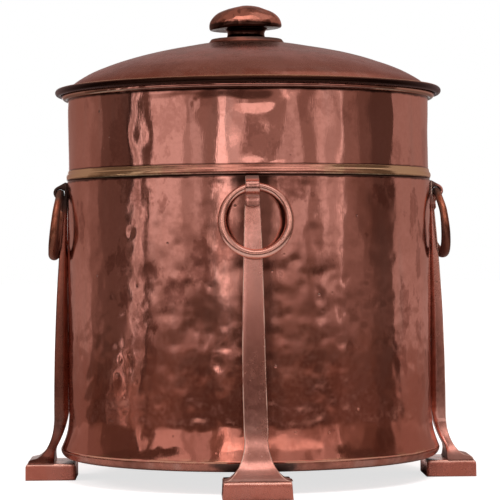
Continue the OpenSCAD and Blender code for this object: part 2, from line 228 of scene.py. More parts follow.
def agedCopper(name, **changes):
    # aged copper: polished metal, brown oxide in broad clouds, a grey film in tall streaks, small dark pits
    look = {**baseLook, **changes}
    material = bpy.data.materials.new(name)
    material.use_nodes = True
    tree = material.node_tree
    shader = tree.nodes["Principled BSDF"]
    place = addNode(tree, "ShaderNodeTexCoord").outputs["Object"]
    clouds = noiseAt(tree, place, look["cloudScale"], 5.0, 0.6)
    streaks = noiseAt(tree, place, 26, 4.0, 0.6, (1, 1, 0.14))
    grain = noiseAt(tree, place, 240, 3.0, 0.6)
    colour = blendColour(tree, remap(tree, clouds, 0.42, 0.68, 0, look["brownShare"]), look["polished"],
                         look["brown"])
    colour = blendColour(tree, remap(tree, streaks, 0.48, 0.72, 0, look["filmShare"]), colour, look["film"])
    colour = blendColour(tree, remap(tree, grain, 0.35, 0.7, 0, 0.22), colour, look["brown"])
    spots = addNode(tree, "ShaderNodeTexVoronoi", {"Vector": place, "Scale": look["pitScale"],
                                                   "Randomness": 1.0}, feature="F1")
    rare = noiseAt(tree, place, 31, 2.0)
    pits = times(tree, remap(tree, spots.outputs["Distance"], 0.10, 0.03),
                remap(tree, rare, 0.52, 0.62))
    stains = noiseAt(tree, place, look["stainScale"], 6.0, 0.62, (1, 1, 0.7))
    stains = times(tree, remap(tree, stains, 0.56, 0.60), remap(tree, grain, 0.2, 0.6, 0.5, 1.0))
    colour = blendColour(tree, times(tree, stains, look["stainShare"]), colour, look["stain"])
    colour = blendColour(tree, times(tree, pits, look["pitShare"]), colour, look["pit"])
    parts = placeParts(tree, place)
    ragged = remap(tree, noiseAt(tree, place, 55, 4.0, 0.65), 0.3, 0.7, -1.0, 1.0)
    pitsAndShade = times(tree, pits, 0.6)
    if look["grimyBack"]:
        # the side of a ring turned to the drum, marked on the mesh, darkened with painted shade
        back = addNode(tree, "ShaderNodeAttribute", attribute_name="back").outputs["Fac"]
        pitsAndShade = calc(tree, "MAXIMUM", pitsAndShade, times(tree, back, look["grimyBack"]))
        colour = blendColour(tree, times(tree, back, look["grimyBack"]), colour, paintedShade)
    for tint in look["tints"]:
        measure = calc(tree, "ADD", parts[tint["by"]], times(tree, ragged, tint["ragged"]))
        share = remap(tree, measure, tint["none"], tint["full"], 0.0, tint["share"])
        if tint["also"]:
            by, none, full = tint["also"]
            share = times(tree, share, remap(tree, parts[by], none, full))
        colour = blendColour(tree, share, colour, tint["colour"])
        # patches of painted shade also take away metal and gloss, as the pits do
        if tint["colour"] == paintedShade:
            pitsAndShade = calc(tree, "MAXIMUM", pitsAndShade, share)
    metal = remap(tree, pitsAndShade, 0.0, 1.0, look["metal"], 0.3)
    if look["wornShare"]:
        # edges bright with wear and a painted highlight, marked on the mesh where a piece has them
        worn = addNode(tree, "ShaderNodeAttribute", attribute_name="worn").outputs["Fac"]
        worn = times(tree, worn, remap(tree, noiseAt(tree, place, 38, 3.0), 0.3, 0.6, 0.15, 1.0))
        worn = times(tree, worn, look["wornShare"])
        colour = blendColour(tree, worn, colour, rubbedAndHighlit)
        metal = calc(tree, "SUBTRACT", metal, times(tree, worn, 0.7))
    tree.links.new(colour, shader.inputs["Base Color"])
    shader.inputs["Specular Tint"].default_value = (*look["edge"], 1)
    tree.links.new(metal, shader.inputs["Metallic"])
    dull = calc(tree, "ADD", remap(tree, clouds, 0.35, 0.75, look["gloss"], look["dull"]),
                remap(tree, grain, 0.3, 0.8, -0.03, 0.06))
    tree.links.new(calc(tree, "ADD", dull, times(tree, pitsAndShade, 0.45)), shader.inputs["Roughness"])
    planish = addNode(tree, "ShaderNodeTexVoronoi", {"Vector": place, "Scale": look["planishScale"],
                                                     "Smoothness": 0.6}, feature="SMOOTH_F1")
    rub = noiseAt(tree, place, 900, 2.0, 0.5, (1, 1, 0.2))
    bump = addNode(tree, "ShaderNodeBump", {"Strength": look["planish"], "Distance": 0.0012,
                                            "Height": planish.outputs["Distance"]})
    fine = addNode(tree, "ShaderNodeBump", {"Strength": look["fine"], "Distance": 0.0002, "Height": rub,
                                            "Normal": bump.outputs[0]})
    sunk = addNode(tree, "ShaderNodeBump", {"Strength": 0.5, "Distance": 0.0004, "Height": pits,
                                            "Normal": fine.outputs[0]}, invert=True)
    tree.links.new(sunk.outputs[0], shader.inputs["Normal"])
    return material


drumCopper = agedCopper("drumCopper",
    planish=0.25, stainShare=0.5, gloss=0.08, dull=0.2, tints=[
    # painted shade on the drum beside each leg
    patch("beside", 0.0165, 0.0115, 0.002, 0.6, (0.20, 0.085, 0.06)),
    # painted deep shade on the drum round the crook at the top of each leg
    patch("beside", 0.024, 0.013, 0.004, 0.9, paintedDeepShade, ("height", 0.264, 0.277)),
    # painted shadow in a band just under the belt
    patch("height", 0.2775, 0.2795, 0.0006, 0.92, paintedDeepShade),
    patch("height", 0.15, 0.07, 0.02, 0.7, (0.64, 0.23, 0.155)),
    # painted highlight, gold, along the crease
    patch("height", 0.031, 0.029, 0.0025, 0.2, paintedCreaseHighlight)])
panCopper = agedCopper("panCopper",
    polished=(0.50, 0.20, 0.145), brown=(0.22, 0.085, 0.06), brownShare=1.0, cloudScale=20.0, planish=0.2,
    gloss=0.26, dull=0.4, tints=[
    # painted shade on the pan beside each leg
    patch("beside", 0.040, 0.026, 0.006, 0.9, paintedShade)])
collarCopper = agedCopper("collarCopper",
    brownShare=0.6, gloss=0.05, dull=0.12, planish=0.06, stainShare=0.3, stainScale=16.0, tints=[
    # painted deep shade in a band under the rolled rim
    patch("height", 0.3538, 0.3560, 0.0004, 0.94, paintedDeepShade, ("height", 0.3586, 0.3576)),
    # painted deep shade, the lid's shadow, on top of the roll
    patch("height", 0.3606, 0.3614, 0.0002, 0.95, paintedDeepShade),
    patch("height", 0.2914, 0.2904, 0.0003, 0.8, umber),
    # painted reflection: the rolled rim turns tan towards the sides
    patch("side", 0.16, 0.30, 0.03, 0.6, (0.66, 0.46, 0.33), ("away", 0.1715, 0.1725))])
lidCopper = agedCopper("lidCopper",
    edge=(0.92, 0.84, 0.86), polished=(0.58, 0.28, 0.21), brown=(0.40, 0.18, 0.125), film=(0.46, 0.29, 0.235),
    brownShare=0.9, cloudScale=6.0, gloss=0.22, dull=0.34, pitShare=1.0, planish=0.05, fine=0.03,
    stainShare=0.35, stainScale=14.0, stain=(0.30, 0.12, 0.08), tints=[
    patch("height", 0.384, 0.408, 0.010, 0.6, (0.30, 0.21, 0.15)),
    patch("height", 0.378, 0.367, 0.006, 0.6, (0.42, 0.14, 0.085)),
    patch("away", 0.171, 0.1745, 0.0005, 0.93, (0.12, 0.04, 0.022)),
    # a gold line along the top of the roll: polish left on the ridge, with a painted highlight
    patch("height", 0.3662, 0.3668, 0.0001, 0.95, (1.0, 0.66, 0.36), ("away", 0.174, 0.177)),
    # painted deep shadow under the roll
    patch("height", 0.3660, 0.3652, 0.0001, 0.95, paintedDeepShade, ("away", 0.168, 0.171))])
knobCopper = agedCopper("knobCopper",
    polished=(0.78, 0.34, 0.24), brown=(0.26, 0.115, 0.08), brownShare=1.0, gloss=0.13, dull=0.26,
    cloudScale=34.0, stainShare=0.6, stainScale=50.0, stain=(0.14, 0.05, 0.035), tints=[
    # painted deep shadow under the cap and over the whole neck
    patch("height", 0.4305, 0.4280, 0.0012, 0.95, paintedDeepShade)])
plateCopper = agedCopper("plateCopper",
    polished=(0.42, 0.18, 0.13), brown=(0.24, 0.10, 0.07), brownShare=1.0, gloss=0.25, dull=0.4, tints=[
    # painted shade under the cap, fading out at the plate's edge
    patch("away", 0.036, 0.0335, 0.0008, 0.85, paintedShade)])
forgedCopper = agedCopper("forgedCopper",
    polished=(0.96, 0.52, 0.43), brown=(0.60, 0.28, 0.21), cloudScale=14.0, gloss=0.2, dull=0.3, planish=0.08,
    wornShare=0.7, tints=[
    # painted shade low on the leg where it meets the foot
    patch("height", 0.027, 0.0195, 0.001, 0.6, paintedShade),
    # painted shade, darker brown, over the middle of the leg
    patch("height", 0.045, 0.075, 0.008, 0.55, (0.34, 0.14, 0.10), ("height", 0.20, 0.12)),
    # painted shade deep in the crook, next to the drum
    patch("height", 0.255, 0.272, 0.004, 0.85, paintedShade, ("away", 0.1835, 0.1765)),
    # painted shade on the tongue under the crook
    patch("height", 0.258, 0.2565, 0.0006, 0.6, umber, ("height", 0.249, 0.253))])
# a shaded copy of the legs' copper for the left leg, darker all over as painted shade
shadedBarCopper = agedCopper("shadedBarCopper",
    polished=(0.34, 0.13, 0.09), brown=(0.13, 0.05, 0.036), brownShare=0.95, cloudScale=14.0, gloss=0.2,
    dull=0.3, planish=0.1, tints=[
    # painted shade in the crook
    patch("height", 0.245, 0.262, 0.004, 0.9, paintedShade)])
footCopper = agedCopper("footCopper",
    polished=(0.95, 0.38, 0.29), brown=(0.62, 0.22, 0.15), cloudScale=22.0, gloss=0.24, dull=0.34,
    planish=0.12, metal=0.78, tints=[
    patch("height", 0.0155, 0.012, 0.0008, 0.65, (0.36, 0.105, 0.07)),
    # painted highlight along the rounded top edge, standing also for wear
    patch("height", 0.0134, 0.0142, 0.0003, 0.85, (1.0, 0.64, 0.52), ("height", 0.0158, 0.0152)),
    # painted deep shadow on the foot's top, under the drum
    patch("height", 0.0156, 0.01595, 0.0001, 0.8, paintedDeepShade)])
# the side of each ring turned to the drum takes painted shade
ringCopper = agedCopper("ringCopper",
    polished=(0.98, 0.56, 0.45), brown=(0.62, 0.30, 0.22), cloudScale=22.0, gloss=0.2, dull=0.3,
    planish=0.06, grimyBack=1.0)
# a shaded copy of the rings' copper for the rings at the sides, darker all over as painted shade
shadedRingCopper = agedCopper("shadedRingCopper",
    polished=(0.66, 0.26, 0.15), brown=(0.20, 0.075, 0.05), film=(0.30, 0.12, 0.08), brownShare=0.95,
    cloudScale=26.0, gloss=0.28, dull=0.4, grimyBack=0.8, planish=0.08, tints=[
    # painted shade over the lower part of the ring
    patch("height", 0.238, 0.228, 0.005, 0.8, (0.13, 0.045, 0.03)),
    # painted shade where the ring passes through the crook
    patch("height", 0.260, 0.267, 0.003, 0.85, paintedShade)])
# the belt's copper, with a painted reflection in gold towards the sides
mouldingPaintedGold = agedCopper("mouldingPaintedGold",
    polished=(0.88, 0.45, 0.35), brown=(0.60, 0.27, 0.20), film=(0.68, 0.44, 0.35), cloudScale=7.0,
    gloss=0.12, dull=0.2, planish=0.03, tints=[
    # painted reflection: gold towards the sides
    patch("side", 0.07, 0.22, 0.03, 0.9, (0.98, 0.76, 0.44)),
    patch("height", 0.2892, 0.2899, 0.0002, 0.7, umber),
    # painted deep shadow along the bottom of the bead
    patch("height", 0.2822, 0.2814, 0.0002, 0.9, paintedDeepShade)])
wireSteel = agedCopper("wireSteel",
    polished=(0.56, 0.56, 0.57), brown=(0.30, 0.29, 0.28), film=(0.45, 0.44, 0.43), planish=0.0, gloss=0.2,
    dull=0.4)
screwBrass = agedCopper("screwBrass",
    polished=(0.74, 0.56, 0.30), brown=(0.40, 0.27, 0.13), film=(0.55, 0.42, 0.25), planish=0.0,
    cloudScale=60.0, gloss=0.2, dull=0.35)
print("finishes made")


drum = {"side": 172.0, "sheet": 1.5, "flare": 7.2, "flareHeight": 34.0, "creaseZ": 28.5, "top": 280.4,
        "steps": 560, "gap": 2.2,
        # rows of hammer marks: seed, radius, lowest, highest, spacing, size, depth, how far apart upwards
        "beaten": [(11, 172, 30, 281, 20, 7.0, 0.30, 1.0), (12, 172, 30, 281, 10, 3.2, 0.12, 1.0),
                   (13, 172, 30, 200, 13, 4.6, 0.26, 1.0), (14, 172, 30, 281, 60, 22.0, 0.7, 1.5),
                   (15, 176, 34, 80, 19, 7.0, 0.55, 1.0)],
        "beatenFrom": 28, "beatenTo": 281, "edge": 10,
        "spots": [(-39.5, 231, 4.0, 0.7), (-41.5, 122, 2.2, 0.4), (-44, 118, 2.4, 0.4),
                  (-40.5, 107, 2.2, 0.4), (-45.5, 101, 2.6, 0.45), (-38.0, 98, 2.0, 0.35),
                  (12, 205, 5.0, 0.5), (31, 150, 5.5, 0.5)]}


def drumSide(z):
    return drum["side"] + drum["flare"] * max(0.0, 1 - (z - drum["creaseZ"]) / drum["flareHeight"]) ** 2


def pushIn(verts, inward):
    # moves each point towards the axis
    radius = np.hypot(verts[:, 0], verts[:, 1])
    verts[:, 0] *= 1 - inward / radius
    verts[:, 1] *= 1 - inward / radius


def beatDrum(verts, marks, strength, sheet):
    # beats the marks in towards the axis, and leaves the edges true
    low, high, fade = sheet["beatenFrom"], sheet["beatenTo"], sheet["edge"]
    z = verts[:, 2] / mm
    inward = dentDepth(verts, *marks) * strength
    pushIn(verts, inward * (smoothStep(low, low + fade, z) * (1 - smoothStep(high - fade, high, z))))


def spotMarks(radius, spots):
    # single marks: degrees from the front, height, size and depth
    turns = [math.radians(spot[0]) for spot in spots]
    centres = [(radius * math.sin(a), -radius * math.cos(a), spot[1]) for a, spot in zip(turns, spots)]
    return (np.array(centres) * mm, np.array([spot[2] for spot in spots]) * mm,
            np.array([spot[3] for spot in spots]) * mm)


def joinMarks(*groups):
    return tuple(np.concatenate([g[i] for g in groups]) for i in range(3))


def makeDrum():
    heights = np.linspace(drum["creaseZ"], drum["top"], round((drum["top"] - drum["creaseZ"]) / drum["gap"]))
    outside = [(drumSide(z), z) for z in heights]
    inside = [(drumSide(z) - drum["sheet"], z) for z in heights[::-1]]
    verts, faces = turnOutline(outside + inside, drum["steps"])
    marks = joinMarks(*[drumMarks(*row) for row in drum["beaten"]], spotMarks(drum["side"], drum["spots"]))
    beatDrum(verts, marks, 1.0, drum)
    ripple = (waves(verts, (75, 75, 24), 17) * 0.085 + waves(verts, (150, 150, 90), 18) * 0.03) * mm
    pushIn(verts, -ripple)
    return makeObject("drumSheet", verts, faces, drumCopper, "bin", ["lower_drum"])


pan = {"corner": 8.0, "low": 20.5, "lap": 10.0, "fit": 0.05, "gap": 12, "steps": 256}


def makePan():
    corner, low = pan["corner"], pan["low"]
    crease = drum["side"] + drum["flare"]
    lap = [drum["creaseZ"] + pan["lap"] * k / 4 for k in range(5)]
    upstand = drum["sheet"] + pan["fit"]
    floor = low + drum["sheet"]
    bend = corner - drum["sheet"]
    bendIn = math.degrees(math.acos((bend - upstand) / bend))
    outline = spaced([(0, low), (crease - corner, low)], pan["gap"])
    outline += arcPoints(crease - corner, low + corner, corner, corner, -90, 0, 12)[1:]
    outline += [(drumSide(z) - upstand, z) for z in lap]
    outline += [(drumSide(z) - upstand - drum["sheet"], z) for z in lap[::-1]]
    outline += arcPoints(crease - corner, low + corner, bend, bend, -bendIn, -90, 8)[1:]
    outline += spaced([(crease - corner, floor), (0, floor)], pan["gap"])[1:]
    verts, faces = turnOutline(outline, pan["steps"], closed=False)
    return makeObject("panSheet", verts, faces, panCopper, "bin", ["base_pan"])


belt = {"back": 170.5, "low": 280.4, "height": 9.6, "bead": 6.8, "round": 2.0, "out": 2.2, "lip": 0.5,
        "steps": 360}


def makeBelt():
    # leans out from the collar to a rounded bead at its foot
    back, low = belt["back"], belt["low"]
    outline = [(back, low)]
    outline += arcPoints(back + belt["out"] - belt["round"], low + belt["bead"] / 2, belt["round"],
                         belt["bead"] / 2, -80, 66, 18)
    beadTop, top = outline[-1], (back + belt["lip"], low + belt["height"] - belt["lip"])
    outline += [(beadTop[0] + (top[0] - beadTop[0]) * t, beadTop[1] + (top[1] - beadTop[1]) * t)
                for t in (0.25, 0.5, 0.75, 1.0)]
    outline += [(back + 0.3, low + belt["height"] - 0.1), (back, low + belt["height"])]
    verts, faces = turnOutline(outline, belt["steps"])
    verts[:, 2] += waves(verts, (9, 9, 9), 5) * 0.18 * mm
    return makeObject("beltMoulding", verts, faces, mouldingPaintedGold, "bin", ["belt_moulding"])


collar = {"out": 170.45, "in": 168.95, "low": 268.4, "rimZ": 359.6, "rollR": 173.24, "roll": 3.1,
          "steps": 560, "gap": 2.6,
          "beaten": [(21, 170.4, 283, 358, 25, 12.0, 0.5, 1.2), (22, 170.4, 283, 358, 18, 7.0, 0.12, 1.0)],
          "beatenFrom": 288, "beatenTo": 358, "edge": 8,
          "spots": [(-3.0, 344.5, 6.0, 0.45), (0.0, 344, 6.5, 0.5), (3.5, 344.5, 6.0, 0.45),
                    (-17.8, 343, 3.2, 0.6), (-23, 337, 6.0, 0.6), (-36, 315, 9.0, 0.6)]}


def makeCollar():
    out, inner, rimZ, rollR, roll = (collar[k] for k in ("out", "in", "rimZ", "rollR", "roll"))
    start = 182 + math.degrees(math.asin(0.55))  # where the wall turns into the roll
    outline = spaced([(out, collar["low"]), (out, rimZ - 2.1)], collar["gap"])
    outline += arcPoints(rollR, rimZ, roll, roll, start, 450, 18)
    outline += [(inner + 0.4, rimZ + 2.4), (inner, rimZ + 1.0)]
    outline += spaced([(inner, rimZ - 2), (inner, collar["low"])], collar["gap"])
    verts, faces = turnOutline(outline, collar["steps"])
    marks = joinMarks(*[drumMarks(*row) for row in collar["beaten"]], spotMarks(out, collar["spots"]))
    tall = waves(verts, (24, 24, 7), 8) * 1.1 + waves(verts, (52, 52, 16), 9) * 0.5
    tall += waves(verts, (110, 110, 40), 10) * 0.06
    z = verts[:, 2] / mm
    beatDrum(verts, marks, 0.75, collar)
    pushIn(verts, (tall + 0.25) * mm * smoothStep(285, 335, z) * (1 - smoothStep(345, 357, z)))
    return makeObject("collarSheet", verts, faces, collarCopper, "bin", ["upper_collar"])


makeDrum()
makePan()
makeBelt()
makeCollar()
print("drum, pan, belt and collar made")


leg = {"width": 21.2, "topWidth": 11.8, "thick": 13.5, "topThick": 3.4, "knee": 60.0, "footTop": 16.0,
       "spread": 36.0, "heel": 185.2, "lip": 206.5, "lipWidth": 3.0, "eyeLow": 263.412, "top": 279.6,
       "strap": 1.8, "eyeR": 178.444, "eyeZ": 269.806, "eyeOut": 6.394, "hole": 3.9, "holeMiddle": 3.43,
       "heelGap": 5.0, "fit": 0.05, "eyeThick": 2.4, "tongue": 1.7, "tongueLow": 251.4, "ease": 0.35,
       "lean": {"front": -1.9, "right": 0, "back": 0, "left": 0}}
foot = {"inner": 165.0, "outer": 211.5, "width": 61.0, "height": 16.0, "round": 3.5, "draft": 1.0,
        "edge": 1.3}
drop = {"radius": 29.6, "wire": 3.35, "tilt": 6.3,
        "lowWire": {"front": 4.2, "right": 4.9, "back": 4.3, "left": 5.0},
        "twist": {"front": 0, "right": 16, "back": 2, "left": -5},
        "aside": {"front": 0.8, "right": 0, "back": 0, "left": 0}}


def barThick(z):
    if z > leg["eyeLow"]:
        return leg["eyeThick"]
    t = (z - leg["knee"]) / (leg["eyeLow"] - leg["knee"])
    return leg["thick"] - (leg["thick"] - leg["topThick"]) * max(0.0, t) ** 2


def barWidth(z):
    t = max(0.0, (z - leg["knee"]) / (leg["top"] - leg["knee"]))
    return leg["width"] - (leg["width"] - leg["topWidth"]) * t ** 2


def legFace(z):
    # outer face of the leg: straight bar, then a quarter ellipse out to the lip on the foot
    knee, kneeR = leg["knee"], drum["side"] + leg["thick"]
    if z >= knee:
        return drum["side"] + barThick(z)
    low = leg["footTop"] + leg["lipWidth"]
    if z >= low:
        t = (knee - z) / (knee - low)
        return leg["lip"] - (leg["lip"] - kneeR) * math.sqrt(max(0.0, 1 - t * t)) - 0.3 * min(1.0, 2 * t)
    t = (z - leg["footTop"]) / leg["lipWidth"]
    return leg["lip"] + leg["lipWidth"] * math.sqrt(max(0.0, 1 - t * t))


def legHalf(z):
    # half of the leg's width: bar, then a quarter ellipse out to the foot's corners
    high = leg["footTop"] + leg["spread"]
    if z >= high:
        return barWidth(max(z, leg["knee"])) / 2
    t = (high - z) / leg["spread"]
    return foot["width"] / 2 - 0.4 - (foot["width"] - leg["width"]) / 2 * math.sqrt(max(0.0, 1 - t * t))


def legBack(z, y):
    # inner face of the leg: the heel on the foot, then the drum's curve
    if z < drum["creaseZ"]:
        return leg["heel"] if z < drum["creaseZ"] - 4 else leg["heel"] - (z - drum["creaseZ"] + 4) * 0.24
    flareTop = drum["creaseZ"] + drum["flareHeight"]
    if z < flareTop:
        away = leg["heelGap"] * (1 - (z - drum["creaseZ"]) / drum["flareHeight"])
        return drumSide(z) + leg["fit"] + away
    return math.sqrt((drum["side"] + leg["fit"]) ** 2 - y * y)


def roundedSection(half, inner, outer, edge, across=6, through=3):
    # closed loop of (x, y): rectangle from inner to outer and -half to half with rounded outer corners
    edge = min(edge, half * 0.45, (outer - inner) * 0.45)
    loop = [(inner, y) for y in np.linspace(-half + edge * 0.3, half - edge * 0.3, across)]
    loop += [(x, half) for x in np.linspace(inner + edge * 0.3, outer - edge, through)]
    loop += [(outer - edge + edge * math.sin(a), half - edge + edge * math.cos(a))
             for a in np.radians((22.5, 45, 67.5))]
    loop += [(outer, y) for y in np.linspace(half - edge, -half + edge, across)]
    loop += [(outer - edge + edge * math.cos(a), -half + edge - edge * math.sin(a))
             for a in np.radians((22.5, 45, 67.5))]
    loop += [(x, -half) for x in np.linspace(outer - edge, inner + edge * 0.3, through)]
    return loop


def loft(loops):
    # joins closed loops of equal length and caps both ends
    count = len(loops[0])
    verts = [p for loop in loops for p in loop]
    faces = []
    for i in range(len(loops) - 1):
        for k in range(count):
            n = (k + 1) % count
            faces.append([i * count + k, i * count + n, (i + 1) * count + n, (i + 1) * count + k])
    faces.append(list(range(count))[::-1])
    faces.append([len(verts) - count + k for k in range(count)])
    return np.array(verts), faces


def turned(verts, angle):
    a = math.radians(angle)
    out = verts.copy()
    out[:, 0] = verts[:, 0] * math.cos(a) - verts[:, 1] * math.sin(a)
    out[:, 1] = verts[:, 0] * math.sin(a) + verts[:, 1] * math.cos(a)
    return out


def addMesh(parts):
    # several (points, faces) as one
    verts, faces, start = [], [], 0
    for v, f in parts:
        verts.append(v)
        faces += [[i + start for i in face] for face in f]
        start += len(v)
    return np.concatenate(verts), faces


def strapOutline():
    # side view of the crook at the top of a leg: up the drum, sloping out and down round the ring's wire,
    # back in under it, and a tongue that lies on the face of the bar; (radius, height)
    eyeR, eyeZ, outer = leg["eyeR"], leg["eyeZ"], leg["eyeOut"]
    back, top = drum["side"] + 0.1, leg["top"]
    lean = math.atan2(top - eyeZ, -(eyeR - drum["side"] - leg["strap"]))
    lean -= math.acos(outer / math.hypot(top - eyeZ, eyeR - drum["side"] - leg["strap"]))
    outside = [(back, top - 0.4), (back + 0.5, top), (drum["side"] + leg["strap"], top)]
    outside += arcPoints(eyeR, eyeZ, outer, outer, math.degrees(lean), -58, 16)
    tongueTop = outside[-1][1]
    for k in range(1, 9):
        z = tongueTop - k * (tongueTop - leg["tongueLow"]) / 8
        face = drum["side"] + barThick(z) + leg["tongue"] * (1 if k < 8 else 0.3)
        groove = 0.55 if k == 2 else 0.0
        outside.append((face - groove, z))
    return outside


barLoop = 24  # points in each section of the bar, and those on its two rounded edges
bevelled = (9, 10, 11, 18, 19, 20)


def makeLeg(side):
    angle = legTurns[side]
    seed = 40 + angle / 90
    # sections close together at the lip, along the spread and up the bar, and a few behind the eye
    heights = list(np.linspace(16, 19, 5)) + list(np.linspace(20, 60, 34)) + list(np.linspace(63, 263.4, 90))
    heights += [266, 269, 274, 279.0]
    loops = []
    for z in heights:
        half, face = legHalf(z), legFace(z)
        loop = []
        for x, y in roundedSection(half, legBack(z, 0), face, 1.1):
            if x < legBack(z, 0) + 0.5:
                x = max(x, legBack(z, y)) if z < 62 else legBack(z, y)
            loop.append((x * mm, y * mm, z * mm))
        loops.append(loop)
    bar = loft(loops)
    sway = waves(bar[0], (60, 60, 22), seed) * 0.22 * mm * smoothStep(0.05, 0.09, bar[0][:, 2])
    outward = smoothStep(0.1745, 0.177, bar[0][:, 0])
    bar[0][:, 0] += (sway - 0.12 * mm) * outward
    bar[0][:, 1] *= 1 + waves(bar[0], (0, 0, 30), seed + 9) * 0.012
    outside = spaced(strapOutline(), 1.2)
    loops = []
    for (x, z), a in zip(outside, np.radians(np.linspace(150, -170, len(outside)))):
        # the inner end of each slice: the hole beside the eye, narrower in its middle, the bar below it
        u, w, middle = drum["side"] + barThick(z) - 0.8, z, (drum["side"] + barThick(z) - 0.8, z)
        if z > leg["eyeZ"] - leg["hole"] * 0.9:
            eyeR, eyeZ = leg["eyeR"], leg["eyeZ"]
            u, w = eyeR + leg["hole"] * math.cos(a), eyeZ + leg["hole"] * math.sin(a)
            middle = (eyeR + leg["holeMiddle"] * math.cos(a), eyeZ + leg["holeMiddle"] * math.sin(a))
        half = barWidth(min(z, leg["top"])) / 2 - (0.1 if z > leg["eyeZ"] - 5 else 0.35)
        below = smoothStep(leg["tongueLow"] + 3.0, leg["tongueLow"], z)
        half -= 0.8 * below
        dip = 1.6 * below  # the tongue's shallow point
        easing = leg["ease"]
        nx, nz = x - u, z - w
        length = math.hypot(nx, nz)
        nx, nz = nx / length, nz / length
        section = [(u, w, -half), (*middle, 0), (u, w, half)]
        back = (x - nx * easing, z - nz * easing)
        section += [(*back, half), (x, z, half - easing), (x, z, half / 2), (x, z, 0),
                    (x, z, -half / 2), (x, z, easing - half), (*back, -half)]
        loops.append([(px * mm, py * mm, (pz + dip * abs(py) / half) * mm) for px, pz, py in section])
    strap = loft(loops)
    verts, faces = addMesh([bar, strap])
    verts[:, 1] += leg["lean"][side] * mm * smoothStep(0.02, 0.13, verts[:, 2])
    # the left leg takes the shaded copy
    finish = shadedBarCopper if side == "left" else forgedCopper
    obj = makeObject("leg_" + side + "_bar", turned(verts, angle), faces, finish, "bin",
                     ["leg_" + side])
    # the bar's bevelled edges, which the finish paints bright: wear and a painted highlight
    worn = [float(i < len(bar[0]) and i % barLoop in bevelled) for i in range(len(verts))]
    obj.data.attributes.new("worn", "FLOAT", "POINT").data.foreach_set("value", worn)
    return obj


def makeFoot(side):
    # loft along the radius; each section is a block with a little draft and eased edges
    angle = legTurns[side]
    length = foot["outer"] - foot["inner"]
    stations = [0.0, 0.5, 1.0] + list(np.linspace(4, length - foot["round"], 12))
    stations += [length - foot["round"] + foot["round"] * math.sin(a)
                 for a in np.radians((12, 25, 38, 51, 64, 76, 85, 90))]
    loops = []
    for s in stations:
        fall = max(0.0, s - (length - foot["round"]))
        top = foot["height"] - foot["round"] + math.sqrt(max(0.0, foot["round"] ** 2 - fall ** 2))
        ease = 0.9 - 0.5 * s if s < 1 else 0.0
        halfLow = foot["width"] / 2 - ease
        halfTop = halfLow - foot["draft"]
        x = foot["inner"] + s
        loop = [(y, 0.35 if abs(y) > halfLow - 0.4 else 0.0) for y in np.linspace(-halfLow, halfLow, 15)]
        loop += [(halfLow - foot["draft"] * t, top * t) for t in (0.12, 0.35, 0.6, 0.84)]
        edge = foot["edge"]
        loop += [(halfTop - edge + edge * math.cos(a), top - ease - edge + edge * math.sin(a))
                 for a in np.radians((8, 30, 52, 75))]
        loop += [(y, top - ease) for y in np.linspace(halfTop - edge, -halfTop + edge, 13)]
        loop += [(-halfTop + edge - edge * math.cos(a), top - ease - edge + edge * math.sin(a))
                 for a in np.radians((75, 52, 30, 8))]
        loop += [(-halfLow + foot["draft"] * t, top * t) for t in (0.84, 0.6, 0.35, 0.12)]
        loops.append([(x * mm, y * mm, z * mm) for y, z in loop])
    verts, faces = loft(loops)
    wear = waves(verts, (70, 70, 70), 60 + angle / 90)
    lift = smoothStep(0.002, 0.012, verts[:, 2])
    verts[:, 2] -= (0.5 + wear) * 0.25 * mm * lift
    verts[:, 1] *= 1 + wear * 0.004 * lift
    return makeObject("foot_" + side + "_block", turned(verts, angle), faces, footCopper, "bin",
                      ["foot_" + side])


def makeRing(side):
    # forged ring: round wire, thinner in its eye and thicker at the bottom, hanging a little askew
    angle = legTurns[side]
    around, section = 120, 24
    verts, faces, back = [], [], []
    tilt, twist = math.radians(drop["tilt"]), math.radians(drop["twist"][side])
    for i in range(around):
        a = 2 * math.pi * i / around  # 0 at the top, in the eye
        low = (1 - math.cos(a)) / 2
        thick = drop["wire"] + (drop["lowWire"][side] - drop["wire"]) * low ** 1.5
        thick *= 1 + 0.05 * noise.noise(Vector((math.cos(a) * 2, math.sin(a) * 2, angle))) * low
        for k in range(section):
            b = 2 * math.pi * k / section
            r = drop["radius"] + thick * math.cos(b)
            x, y, z = thick * math.sin(b), r * math.sin(a), r * math.cos(a) - drop["radius"]
            # bent askew on its inner side and less on the other, so that it swings up clear of the collar
            askew = 0.22 + 0.78 * smoothStep(-0.4, 0.4, math.sin(a) * math.copysign(1, twist))
            swing = twist * askew * smoothStep(0.02, 0.35, low)
            x, y = x * math.cos(swing) - y * math.sin(swing), x * math.sin(swing) + y * math.cos(swing)
            x, z = x * math.cos(tilt) - z * math.sin(tilt), x * math.sin(tilt) + z * math.cos(tilt)
            # how far each point faces the drum; the finish lays painted shade there
            back.append(float(smoothStep(0.1, 0.75, -math.sin(b))))
            verts.append(((leg["eyeR"] + x) * mm, (y + drop["aside"][side]) * mm, (leg["eyeZ"] + z) * mm))
            j, n = (i + 1) % around, (k + 1) % section
            faces.append([i * section + k, j * section + k, j * section + n, i * section + n])
    verts = turned(np.array(verts), angle)
    # the rings at the sides take the shaded copy
    finish = shadedRingCopper if side in ("left", "right") else ringCopper
    obj = makeObject("ring_" + side + "_wire", verts, faces, finish, "ring_" + side,
                     ["ring_" + side])
    obj.data.attributes.new("back", "FLOAT", "POINT").data.foreach_set("value", back)
    return obj


for side in legTurns:
    makeLeg(side)
    makeFoot(side)
    makeRing(side)
print("legs, feet and rings made")


